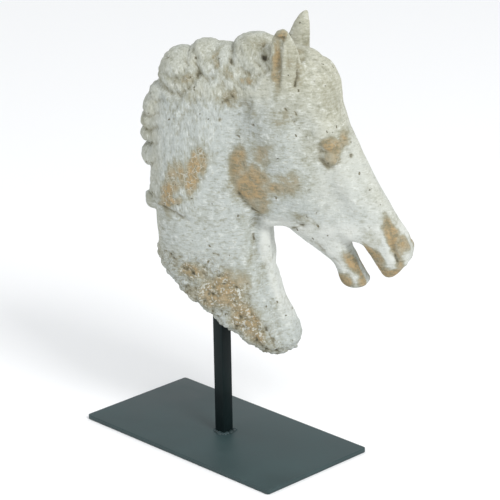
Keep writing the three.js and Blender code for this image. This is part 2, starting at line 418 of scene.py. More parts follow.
@dataclass(frozen=True)
class Studio:
    """A pale table in soft daylight, seen from the head's right side, a little in front and above. Angles
    are in degrees, the lens and the film in millimetres, and the rest in metres."""

    azimuth: float = 45.97
    elevation: float = 19.46
    roll: float = -0.99
    distance: float = 1.927
    aim_height: float = 0.1685
    sideways: float = 0.0249
    lens: float = 165.6
    film_width: float = 36.0
    floor_width: float = 12.0
    floor_gap: float = 0.2 * MM

    def place_camera(self) -> None:
        """Make the scene's camera."""
        a, e = math.radians(self.azimuth), math.radians(self.elevation)
        back = Vector((math.sin(a) * math.cos(e), -math.cos(a) * math.cos(e), math.sin(e)))
        right = Vector((math.cos(a), math.sin(a), 0.0))
        place = Vector((0.0, 0.0, self.aim_height)) + back * self.distance + right * self.sideways
        turn = Matrix((right, back.cross(right), back)).transposed().to_4x4()
        data = bpy.data.cameras.new("studio_camera")
        data.lens = self.lens
        data.sensor_width = self.film_width
        camera = bpy.data.objects.new("studio_camera", data)
        roll = Matrix.Rotation(math.radians(self.roll), 4, "Z")
        camera.matrix_world = Matrix.Translation(place) @ turn @ roll
        bpy.context.scene.collection.objects.link(camera)
        bpy.context.scene.camera = camera

    def lay_floor(self) -> None:
        """Make the pale floor under the plate."""
        mesh = bpy.data.meshes.new("studio_floor")
        half = self.floor_width / 2
        corners = [(-half, -half), (half, -half), (half, half), (-half, half)]
        mesh.from_pydata([(x, y, -self.floor_gap) for x, y in corners], [], [(0, 1, 2, 3)])
        material = bpy.data.materials.new("pale_paper")
        material.use_nodes = True
        paper = material.node_tree.nodes["Principled BSDF"]
        paper.inputs["Base Color"].default_value = linear("#fbfbfb")
        paper.inputs["Roughness"].default_value = 0.9
        mesh.materials.append(material)
        link_object("studio_floor", mesh)

    def light(self) -> None:
        """Make the daylight and two large soft lamps."""
        world = bpy.data.worlds.new("soft_daylight")
        world.use_nodes = True
        sky = world.node_tree.nodes["Background"]
        sky.inputs["Color"].default_value = linear("#f6f8fa")
        sky.inputs["Strength"].default_value = 0.9
        bpy.context.scene.world = world
        self.lamp("key_light", (2.1, -0.3, 1.9), width=0.8, power=42.0)
        self.lamp("fill_light", (-0.9, -2.4, 1.6), width=1.8, power=4.0)
        bpy.context.scene.view_settings.view_transform = "Standard"

    def lamp(self, name: str, place: tuple[float, float, float], width: float, power: float) -> None:
        """Make one square lamp that faces the head.

        Args:
            name: Its name.
            place: Where it hangs, in metres.
            width: Its side.
            power: Its watts.
        """
        data = bpy.data.lights.new(name, "AREA")
        data.size = width
        data.energy = power
        lamp = bpy.data.objects.new(name, data)
        lamp.location = place
        aim = Vector((0.0, 0.0, self.aim_height)) - Vector(place)
        lamp.rotation_euler = aim.to_track_quat("-Z", "Y").to_euler()
        bpy.context.scene.collection.objects.link(lamp)


# ---------------------------------------------------------------------------------------------------------
# Finishes
# ---------------------------------------------------------------------------------------------------------


@dataclass(frozen=True)
class Limewash:
    """Chalky limewash brushed over a tan cast body and rubbed back: pale and dead matt, cool where it lies
    thick, cream where it is thin, tan where it is rubbed through, with old soiling and painted shade in the
    hollows, and painted light on the windpipe."""

    cool: str = "#adb2ae"
    cream: str = "#b2b1a0"
    chalk: str = "#d2d5cf"
    shade: str = "#848981"
    stain: str = "#8b8a77"
    tan: str = "#a38d69"
    umber: str = "#7c765f"
    # near-black of the deepest hollows and pits: soiling and painted shadow
    soot_and_shadow: str = "#3f3b2f"
    # pale smooth wash, also a painted highlight on the windpipe where it faces the lamp
    smooth: str = "#cdcfc9"
    roughness: float = 0.86
    shine: float = 0.25
    mottle_mm: float = 5.0
    grain_mm: float = 1.7
    streak_mm: float = 1.6
    scratch_mm: float = 0.9
    net_mm: float = 4.0
    pit_mm: float = 6.0
    shake_mm: float = 3.5  # how far apart the bends in the edges of net and pits are
    shake_reach_mm: float = 4.0  # and how far they bend
    tooth_mm: float = 1.3  # how deep the brushed surface is
    lift_offset: float = -0.2  # brings the middle of the lift near a half
    empty_cells: float = 0.72  # the share of the places that have no pit

    def material(self) -> bpy.types.Material:
        """Build the material.

        Returns:
            The finished material, which reads the head's attributes of rubbing (with a few patches of painted
            shade), soiling with painted shade, warmth, hair, grit, and smooth wash with painted light.
        """
        material = bpy.data.materials.new("limewash_over_tan")
        material.use_nodes = True
        tree = material.node_tree
        shader = tree.nodes["Principled BSDF"]
        place = add_node(tree, "ShaderNodeTexCoord").outputs["Object"]
        worn_and_shaded, grime_and_shade, warm, hair, grit, smooth_and_lit = (
            add_node(tree, "ShaderNodeAttribute", attribute_name=name).outputs["Fac"]
            for name in ("worn_and_shaded", "grime_and_shade", "warm", "hair", "grit", "smooth_and_lit")
        )
        mottle, grain, scratch, lift = self.brushwork(tree, place, hair)

        # How far the body shows, how much soiling and painted shade lies there, and where the break's chips
        # gather: each is one pattern by its share and an offset, added to another.
        shares = ((worn_and_shaded, lift, 1.3, -0.6), (grime_and_shade, lift, 0.9, -0.42), (grain, mottle, 0.8, -0.41))
        sums = []
        for base, pattern, share, offset in shares:
            part = {0: pattern, 1: share, 2: offset}
            part = add_node(tree, "ShaderNodeMath", part, operation="MULTIPLY_ADD").outputs[0]
            sums.append(add_node(tree, "ShaderNodeMath", {0: base, 1: part}, operation="ADD").outputs[0])
        bare, dirt_and_shade, gathered = sums

        # Each mask follows a pattern: where it starts, where it is full, and how strong it is there.
        ramps = {
            "dark": (lift, 0.5, 0.66, 0.5),
            "light": (lift, 0.44, 0.28, 0.6),
            "scratched": (scratch, 0.54, 0.7, 0.55),
            "stained": (bare, 0.08, 0.6, 0.75),
            "grained": (lift, 0.39, 0.58, 0.95),
            "opened": (bare, 0.42, 1.05, 0.97),
            "crumbled": (grain, 0.49, 0.41, 0.6),
            "chipped": (gathered, 0.53, 0.61, 1.0),
            # the hollows' soiling and painted shade, near-black in the deepest
            "grimy_and_shaded": (dirt_and_shade, 0.1, 0.8, 0.7),
            "sooty_and_shaded": (dirt_and_shade, 0.6, 1.3, 0.85),
        }
        mask = {
            name: add_node(tree, "ShaderNodeMapRange", {0: pattern, 1: start, 2: full, 4: top}).outputs[0]
            for name, (pattern, start, full, top) in ramps.items()
        }
        for name in ("crumbled", "chipped"):
            on_break = {0: mask[name], 1: grit}
            mask[name] = add_node(tree, "ShaderNodeMath", on_break, operation="MULTIPLY").outputs[0]
        moved = self.shaken(tree, place)
        left = self.left_over(tree, moved, mottle, hair, worn_and_shaded, mask)
        hole = self.pits(tree, moved)

        # The wash is cool where it is thick and cream where it is thin, brushed lighter and darker, scratched,
        # and smooth on the windpipe, painted paler there as a highlight where it faces the lamp. Where it is
        # rubbed, a stain shows first, and then the bare body, darker in its grain, with crumbs and flecks of
        # wash on it; a few of these stains, under the locks and by the windpipe, are painted shade. Soiling
        # and painted shade lie in the hollows, near-black as painted shadow in the deepest, and the pits are
        # dark.
        wash = {0: warm, 6: linear(self.cool), 7: linear(self.cream)}
        coat = add_node(tree, "ShaderNodeMix", wash, data_type="RGBA").outputs[2]
        body = {0: mask["grained"], 6: linear(self.tan), 7: linear(self.umber)}
        body = add_node(tree, "ShaderNodeMix", body, data_type="RGBA").outputs[2]
        layers = (
            (mask["dark"], linear(self.shade)),
            (mask["light"], linear(self.chalk)),
            (mask["scratched"], linear(self.stain)),
            # painted highlight: the smooth windpipe, facing the lamp, and a little of the face are painted
            # paler
            (smooth_and_lit, linear(self.smooth)),
            (mask["stained"], linear(self.stain)),
            (mask["opened"], body),
            (mask["crumbled"], linear(self.umber)),
            (left, linear(self.chalk)),
            # painted shade with the soiling: the hollows darken, and the deepest turn near-black as painted
            # shadow
            (mask["grimy_and_shaded"], linear(self.umber)),
            (mask["sooty_and_shaded"], linear(self.soot_and_shadow)),
            (hole, linear(self.umber)),
        )
        for amount, colour in layers:
            layer = {0: amount, 6: coat, 7: colour}
            coat = add_node(tree, "ShaderNodeMix", layer, data_type="RGBA").outputs[2]

        depth = add_node(tree, "ShaderNodeMath", {0: lift, 1: hole}, operation="ADD").outputs[0]
        sunk = add_node(tree, "ShaderNodeMath", {0: depth, 1: -1.0}, operation="MULTIPLY").outputs[0]
        bump = {"Height": sunk, "Strength": 0.9, "Distance": self.tooth_mm * MM}
        bump = add_node(tree, "ShaderNodeBump", bump).outputs[0]
        tree.links.new(coat, shader.inputs["Base Color"])
        tree.links.new(bump, shader.inputs["Normal"])
        shader.inputs["Roughness"].default_value = self.roughness
        shader.inputs["Specular IOR Level"].default_value = self.shine
        return material

    def brushwork(
        self, tree: bpy.types.NodeTree, place: bpy.types.NodeSocket, hair: bpy.types.NodeSocket
    ) -> tuple[bpy.types.NodeSocket, ...]:
        """Make the patterns of the brushed wash: level strokes on the skin and upright ones in the mane.

        Args:
            tree: The material's nodes.
            place: Where each point is.
            hair: How much of it is mane.

        Returns:
            The mottle, the grain, the scratches, and how far the wash is lifted by all of its patterns.
        """
        mottle = {"Vector": place, "Scale": 1 / (self.mottle_mm * MM), "Detail": 4.0, "Roughness": 0.58}
        mottle = add_node(tree, "ShaderNodeTexNoise", mottle).outputs[0]
        grain = {"Vector": place, "Scale": 1 / (self.grain_mm * MM), "Detail": 3.0}
        grain = add_node(tree, "ShaderNodeTexNoise", grain).outputs[0]
        ways = [
            add_node(tree, "ShaderNodeMapping", {"Vector": place, "Scale": stretch}).outputs[0]
            for stretch in ((0.25, 0.25, 1.0), (1.0, 1.0, 0.2))
        ]
        strokes = []
        for size, detail, distortion in ((self.streak_mm, 2.0, 0.0), (self.scratch_mm, 1.0, 0.3)):
            look = {"Scale": 1 / (size * MM), "Detail": detail, "Distortion": distortion}
            level, upright = (
                add_node(tree, "ShaderNodeTexNoise", {"Vector": way, **look}).outputs[0] for way in ways
            )
            strokes.append(add_node(tree, "ShaderNodeMix", {0: hair, 2: level, 3: upright}).outputs[0])
        streak, scratch = strokes
        lift = self.lift_offset
        for pattern, share in ((grain, 0.3), (streak, 0.45), (mottle, 0.6)):
            part = {0: pattern, 1: share, 2: lift}
            lift = add_node(tree, "ShaderNodeMath", part, operation="MULTIPLY_ADD").outputs[0]
        return mottle, grain, scratch, lift

    def shaken(self, tree: bpy.types.NodeTree, place: bpy.types.NodeSocket) -> bpy.types.NodeSocket:
        """Shake the places a little, so that cells laid over them have crooked edges.

        Args:
            tree: The material's nodes.
            place: Where each point is.

        Returns:
            The shaken places.
        """
        shake = {"Vector": place, "Scale": 1 / (self.shake_mm * MM), "Detail": 1.0}
        shake = add_node(tree, "ShaderNodeTexNoise", shake)
        moved = {0: shake.outputs[1], 1: (self.shake_reach_mm * MM,) * 3, 2: place}
        return add_node(tree, "ShaderNodeVectorMath", moved, operation="MULTIPLY_ADD").outputs[0]

    def left_over(
        self,
        tree: bpy.types.NodeTree,
        moved: bpy.types.NodeSocket,
        mottle: bpy.types.NodeSocket,
        hair: bpy.types.NodeSocket,
        worn_and_shaded: bpy.types.NodeSocket,
        mask: dict[str, bpy.types.NodeSocket],
    ) -> bpy.types.NodeSocket:
        """Work out where flecks of wash are left on the bare body.

        Args:
            tree: The material's nodes.
            moved: The shaken places.
            mottle: The coarse pattern of the wash, which breaks the net up.
            hair: How much of each point is mane, where the net is strongest.
            worn_and_shaded: How rubbed each point is, with the few patches of painted shade: the most rubbed
                keeps the least.
            mask: The masks of the opened body and of the break's chips.

        Returns:
            How much wash is left: a net of lines, and chips on the break.
        """
        net = {"Vector": moved, "Scale": 1 / (self.net_mm * MM)}
        net = add_node(tree, "ShaderNodeTexVoronoi", net, feature="DISTANCE_TO_EDGE").outputs[0]
        width = add_node(tree, "ShaderNodeMapRange", {0: mottle, 1: 0.42, 2: 0.62, 4: 0.16}).outputs[0]
        line = add_node(tree, "ShaderNodeMapRange", {0: net, 1: width, 2: 0.0}).outputs[0]
        netted = {0: hair, 1: 0.62, 2: 0.16}
        netted = add_node(tree, "ShaderNodeMath", netted, operation="MULTIPLY_ADD").outputs[0]
        line = add_node(tree, "ShaderNodeMath", {0: line, 1: netted}, operation="MULTIPLY").outputs[0]
        left = {0: line, 1: mask["chipped"]}
        left = add_node(tree, "ShaderNodeMath", left, operation="MAXIMUM").outputs[0]
        kept = add_node(tree, "ShaderNodeMapRange", {0: worn_and_shaded, 1: 1.3, 2: 0.6, 3: 0.42}).outputs[0]
        for limit in (kept, mask["opened"]):
            left = add_node(tree, "ShaderNodeMath", {0: left, 1: limit}, operation="MULTIPLY").outputs[0]
        return left

    def pits(self, tree: bpy.types.NodeTree, moved: bpy.types.NodeSocket) -> bpy.types.NodeSocket:
        """Make pits of many sizes, one to a cell, in only some of the cells.

        Args:
            tree: The material's nodes.
            moved: The shaken places.

        Returns:
            1 in a pit and 0 off it.
        """
        cells = add_node(tree, "ShaderNodeTexVoronoi", {"Vector": moved, "Scale": 1 / (self.pit_mm * MM)})
        chance = add_node(tree, "ShaderNodeSeparateColor", {0: cells.outputs["Color"]})
        rim = {0: chance.outputs[1], 1: -0.16, 2: cells.outputs["Distance"]}
        rim = add_node(tree, "ShaderNodeMath", rim, operation="MULTIPLY_ADD").outputs[0]
        hole = add_node(tree, "ShaderNodeMapRange", {0: rim, 1: 0.06, 2: -0.03}).outputs[0]
        present = {0: chance.outputs[0], 1: self.empty_cells}
        present = add_node(tree, "ShaderNodeMath", present, operation="GREATER_THAN").outputs[0]
        return add_node(tree, "ShaderNodeMath", {0: hole, 1: present}, operation="MULTIPLY").outputs[0]


@dataclass(frozen=True)
class SatinPaint:
    """Satin paint on mild steel: an even dark coat with a faint orange-peel texture, a soft shine, and clouds
    of a lighter colour, from dusting and rubbing, and on the weld also painted highlights."""

    name: str
    colour: str
    dusty_and_lit: str
    roughness: float
    dulling: float = 0.15
    cloud_mm: float = 60.0
    peel_mm: float = 1.6
    shine: float = 0.3

    def material(self) -> bpy.types.Material:
        """Build the material.

        Returns:
            The finished material.
        """
        material = bpy.data.materials.new(self.name)
        material.use_nodes = True
        tree = material.node_tree
        shader = tree.nodes["Principled BSDF"]
        place = add_node(tree, "ShaderNodeTexCoord").outputs["Object"]
        cloud = {"Vector": place, "Scale": 1 / (self.cloud_mm * MM), "Detail": 5.0, "Roughness": 0.6}
        cloud = add_node(tree, "ShaderNodeTexNoise", cloud).outputs[0]
        peel = {"Vector": place, "Scale": 1 / (self.peel_mm * MM), "Detail": 2.0}
        peel = add_node(tree, "ShaderNodeTexNoise", peel).outputs[0]
        # lighter clouds: dusting, and on the weld painted highlights
        dust_and_sheen = add_node(tree, "ShaderNodeMapRange", {0: cloud, 1: 0.35, 2: 0.7, 4: 0.8}).outputs[0]
        colour = {0: dust_and_sheen, 6: linear(self.colour), 7: linear(self.dusty_and_lit)}
        colour = add_node(tree, "ShaderNodeMix", colour, data_type="RGBA").outputs[2]
        dullest = self.roughness + self.dulling
        gloss = {0: cloud, 1: 0.3, 2: 0.7, 3: self.roughness, 4: dullest}
        gloss = add_node(tree, "ShaderNodeMapRange", gloss).outputs[0]
        bump = {"Height": peel, "Strength": 0.12, "Distance": 0.2 * MM}
        bump = add_node(tree, "ShaderNodeBump", bump).outputs[0]
        tree.links.new(colour, shader.inputs["Base Color"])
        tree.links.new(gloss, shader.inputs["Roughness"])
        tree.links.new(bump, shader.inputs["Normal"])
        shader.inputs["Specular IOR Level"].default_value = self.shine
        return material


# ---------------------------------------------------------------------------------------------------------
# The head
# ---------------------------------------------------------------------------------------------------------


class Side(Enum):
    """Which side of the head a mark is on, as the sign of Y."""

    RIGHT = -1
    BOTH = 0
    LEFT = 1


@dataclass(frozen=True)
class Stroke:
    """A groove drawn on the side of the head through points in its X and Z. A negative depth raises it. Its
    dark colour is soiling and painted shade; where it has no depth, it is only painted shade.
    """

    points: tuple[tuple[float, float], ...]
    width: float
    depth: float
    side: Side = Side.BOTH
    # how dark it is laid: soiling and painted shade
    grime_and_shade: float = 0.5

    def weight(self, x: np.ndarray, z: np.ndarray) -> np.ndarray:
        """Work out how near each point is to the stroke.

        Args:
            x: How far forwards each point is.
            z: How high.

        Returns:
            1 on the stroke, falling to 0 well off it.
        """
        nearest = np.full(len(x), np.inf)
        for (ax, az), (bx, bz) in zip(self.points, self.points[1:]):
            along = (bx - ax) ** 2 + (bz - az) ** 2
            t = np.clip(((x - ax) * (bx - ax) + (z - az) * (bz - az)) / along, 0.0, 1.0)
            away = (x - ax - t * (bx - ax)) ** 2 + (z - az - t * (bz - az)) ** 2
            nearest = np.minimum(nearest, away)
        return np.exp(-nearest / (self.width**2))


@dataclass(frozen=True)
class Patch:
    """A place on the side of the head where the wash is rubbed, in X and Z, with its radii and its tilt; a few
    of them lay painted shade as a stain.
    """

    x: float
    z: float
    wide: float
    tall: float
    tilt: float = 0.0
    amount: float = 1.0
    side: Side = Side.BOTH

    def weight(self, x: np.ndarray, z: np.ndarray) -> np.ndarray:
        """Work out how rubbed each point is.

        Args:
            x: How far forwards each point is.
            z: How high.

        Returns:
            The full amount in the middle, falling to 0 past the edge.
        """
        c, s = math.cos(math.radians(self.tilt)), math.sin(math.radians(self.tilt))
        dx, dz = x - self.x, z - self.z
        far = np.hypot((dx * c - dz * s) / self.wide, (dx * s + dz * c) / self.tall)
        return self.amount * (1.0 - ease(0.2, 1.5, far))


@dataclass(frozen=True)
class Ear:
    """A pricked ear: the side it is on, its back and front edges at a few heights, and how far the middle of
    its hollow lies from its back edge."""

    side: Side
    heights: tuple[float, ...]
    backs: tuple[float, ...]
    fronts: tuple[float, ...]
    hollow: float


@dataclass
class HorseHead:
    """The cast head, with its mane, forelock, ears and broken neck, as one solid.

    The face and the jaw are strung along a line that starts at the poll and runs down at the face's slope.
    The neck is strung upwards, so its sections are level. The surface is looked for in a room a little
    larger than the head. A fillet is the reach of a soft join.
    """

    poll: tuple[float, float] = (60.0, 330.0)
    face_slope: float = math.radians(-62.4)
    room_low: tuple[float, float, float] = (-74.0, -46.0, 76.0)
    room_high: tuple[float, float, float] = (172.0, 46.0, 380.0)
    cell: float = 1.25
    slope_step: float = 0.25
    break_from: tuple[float, float] = (-52.0, 156.8)
    break_to: tuple[float, float] = (34.0, 93.4)
    skull_fillet: float = 12.0
    jaw_fillet: float = 7.0
    lip_fillet: float = 2.5
    break_fillet: float = 7.0
    ear_fillet: float = 5.0
    ear_tip_fillet: float = 3.0
    ear_hollow_fillet: float = 1.6
    mane_rise: float = 2.3
    strand_width: float = 6.4
    strand_depth: float = 0.24
    hair_width: float = 2.7
    hair_depth: float = 0.1
    face: Loft = field(
        default_factory=lambda: Loft(
            [  # place, low edge, high edge, half width, flare
                Section(-16, -20, 12, 15, 0.1),
                Section(-4, -34, 27, 25, 0.1),
                Section(12, -45, 34.5, 31, 0.1),
                Section(28, -50, 34, 34, 0.1),
                Section(45, -52, 27, 34, 0.14),
                Section(62, -52, 24.3, 32, 0.24),
                Section(85, -50, 23.5, 27, 0.3),
                Section(110, -48, 23.3, 21.5, 0.3),
                Section(135, -36, 24.5, 18, 0.25),
                Section(152, -18, 24.6, 17.5, 0.15),
                Section(165, -10, 25.6, 18, 0.05),
                Section(178, -9.3, 24, 17, 0),
                Section(187.5, -8.5, 16.5, 14, 0),
                Section(193, -5, 4, 8, 0),
            ]
        )
    )
    jaw: Loft = field(
        default_factory=lambda: Loft(
            [
                Section(96, -64, -20, 22, -0.1),
                Section(120, -61.3, -18, 20, -0.15),
                Section(137, -53.3, -19, 17, -0.1),
                Section(150, -46, -20, 14.5, 0),
                Section(161, -41, -21.5, 12.5, 0),
                Section(168, -41, -21.8, 12.5, 0),
                Section(176, -43, -21.8, 13, 0),
                Section(183, -42, -21.5, 12.5, 0),
                Section(190, -33, -20.5, 11, 0),
            ],
            cap=4.0,
        )
    )
    neck: Loft = field(
        default_factory=lambda: Loft(
            [
                Section(86, 31, 62, 20, 0),
                Section(97, 9, 69.8, 28, 0),
                Section(115, -20.8, 62.6, 30, 0),
                Section(135, -39.6, 54.4, 31, 0),
                Section(160, -50.6, 46.4, 30.5, 0.05),
                Section(195, -52.5, 43.6, 29.5, 0.1),
                Section(225, -54, 50, 28, 0.15),
                Section(260, -54.5, 56, 26.5, 0.2),
                Section(290, -53, 60, 25, 0.2),
                Section(315, -45, 60, 23, 0.15),
                Section(333, -28, 58, 19, 0.1),
                Section(344, -6, 50, 12, 0),
            ]
        )
    )
    locks: tuple[Mass, ...] = (  # middle, radii forwards, sideways and upwards, tilt, fillet
        Mass(33, 0, 342, 17.5, 16, 14.5, 0, 3),
        Mass(46, 0, 340, 13, 15, 12.5, 0, 6),
        Mass(-7, 0, 334, 14.5, 16, 15.5, 12, 3),
        Mass(7, 0, 336, 12, 15, 9.5, 0, 5),
        Mass(-30.5, 0, 325.5, 14, 17, 16, 26, 3),
        Mass(-35.5, 0, 317.5, 11.5, 16, 10.5, 0, 4),
        Mass(-47, 0, 303.5, 8.5, 14, 8.5, 0, 4),
        Mass(-51.5, 0, 291.5, 9, 14, 9.5, 0, 5),
        Mass(-55, 0, 280, 8.5, 13, 8, 0, 5),
        Mass(-55, 0, 268.5, 8.5, 13, 6.5, 0, 4),
        Mass(-54, 0, 251, 9.5, 12, 9.5, 0, 4),
        Mass(-48.5, 0, 228, 6, 12, 18, -4, 5),
        Mass(-55.5, 0, 210.5, 8, 12, 7.5, 0, 3),
    )
    masses: tuple[Mass, ...] = (
        Mass(57, 13, 248.2, 44, 17, 47.8, 0, 7),  # cheek muscle
        Mass(92, 23, 283, 11, 7, 7, -20, 7),  # brow
        Mass(102, 21, 269, 9, 6.5, 9.5, 0, 5),  # eyeball
        Mass(102, 25.5, 274.5, 9, 4, 4.5, 8, 3),  # upper lid
        Mass(102, 25, 263, 6.5, 3.5, 5.5, 0, 3),  # lower lid
        Mass(110, 14, 243, 26, 8, 7, 62, 9),  # cheekbone ridge
    )
    hollows: tuple[Mass, ...] = (
        Mass(151, 19.5, 187, 3.0, 4.5, 14, -19, 4),  # nostril
        Mass(82, 36, 289, 9, 6, 7, -20, 8),  # temple, above and behind the eye
        Mass(121, 27, 268, 12, 5, 26, -28, 8),  # flat of the face in front of the eye
    )
    ears: tuple[Ear, ...] = (
        Ear(
            side=Side.RIGHT,
            heights=(312, 325, 340, 350, 360, 366, 368),
            backs=(52, 53.5, 54, 54.5, 55.5, 59, 62),
            fronts=(76, 76, 77, 75, 71, 67, 65),
            hollow=5.4,
        ),
        Ear(
            side=Side.LEFT,
            heights=(312, 330, 345, 354, 362, 368, 372.5),
            backs=(50, 51, 53, 57, 60.5, 64, 68),
            fronts=(75, 73, 72.6, 72.6, 72.4, 71.8, 70.8),
            hollow=6.0,
        ),
    )
    mouth: tuple[float, float, float] = (158.5, -14.6, 7.2)  # along the face, across it, half its height

    def distance(self, points: np.ndarray) -> np.ndarray:
        """Distance of each point from the head's skin, before the fine relief.

        Args:
            points: Places in the head's own millimetres, one row each.

        Returns:
            The distances, negative inside.
        """
        x, y, z = points[:, 0], np.abs(points[:, 1]), points[:, 2]
        d = blend(self.neck_form(x, y, z), self.face_form(x, y, z), self.skull_fillet)
        for mass in (*self.locks, *self.masses):
            d = blend(d, mass.distance(x, y, z), mass.reach)
        for ear in self.ears:
            d = blend(d, self.ear_form(ear, x, points[:, 1], z), self.ear_fillet)
        for hollow in self.hollows:
            d = carve(d, hollow.distance(x, y, z), hollow.reach)
        return d

    def neck_form(self, x: np.ndarray, y: np.ndarray, z: np.ndarray) -> np.ndarray:
        """Work out the neck, cut off along its broken lower edge.

        Args:
            x: How far forwards each point is.
            y: How far out of the middle plane.
            z: How high.

        Returns:
            The distance of each point.
        """
        return -blend(-self.neck.distance(z, x, y), self.above_break(x, z), self.break_fillet)

    def above_break(self, x: np.ndarray, z: np.ndarray) -> np.ndarray:
        """Measure the height over the slanting broken edge.

        Args:
            x: How far forwards each point is.
            z: How high.

        Returns:
            How far each point is above the edge, square to it.
        """
        (ax, az), (bx, bz) = self.break_from, self.break_to
        return ((x - ax) * (az - bz) + (z - az) * (bx - ax)) / math.hypot(bx - ax, bz - az)

    def face_form(self, x: np.ndarray, y: np.ndarray, z: np.ndarray) -> np.ndarray:
        """Work out the skull, muzzle and lower jaw, with the slot of the open mouth.

        Args:
            x: How far forwards each point is.
            y: How far out of the middle plane.
            z: How high.

        Returns:
            The distance of each point.
        """
        dx, dz = x - self.poll[0], z - self.poll[1]
        c, s = math.cos(self.face_slope), math.sin(self.face_slope)
        at, across = dx * c + dz * s, dz * c - dx * s
        face, jaw = self.face.distance(at, across, y), self.jaw.distance(at, across, y)
        mouth_at, mouth_across, half = self.mouth
        slot = np.hypot(np.minimum(at - mouth_at, 0.0), across - mouth_across) - half
        return carve(blend(face, jaw, self.jaw_fillet), slot, self.lip_fillet)

    def ear_form(self, ear: Ear, x: np.ndarray, y: np.ndarray, z: np.ndarray) -> np.ndarray:
        """Work out one ear, a leaf with its hollow facing outwards.

        Args:
            ear: The ear's sizes.
            x: How far forwards each point is.
            y: How far to the left.
            z: How high.

        Returns:
            The distance of each point.
        """
        foot, tip = ear.heights[0], ear.heights[-1]
        out = y * ear.side.value - np.interp(z, (312, 370), (22.0, 25.5))
        back = np.interp(z, ear.heights, ear.backs)
        front = np.interp(z, ear.heights, ear.fronts)
        wide = np.maximum((front - back) / 2, 1.0)
        thick = np.interp(z, (312, 340, 369), (8.5, 6.5, 3.6))
        far = np.hypot((x - (front + back) / 2) / wide, out / thick)
        leaf = (far - 1.0) * np.minimum(wide, thick)
        leaf = -blend(-leaf, -np.maximum(foot - z, z - tip), self.ear_tip_fillet)
        rim, from_tip, from_foot = 1.2, 5.0, 8.0
        inner = np.hypot((x - back - ear.hollow) / (ear.hollow - rim), (out - thick) / (thick * 0.9))
        ends = np.maximum(foot + from_foot - z, z - tip + from_tip)
        return carve(leaf, np.maximum((inner - 1.0) * 4.0, ends), self.ear_hollow_fillet)

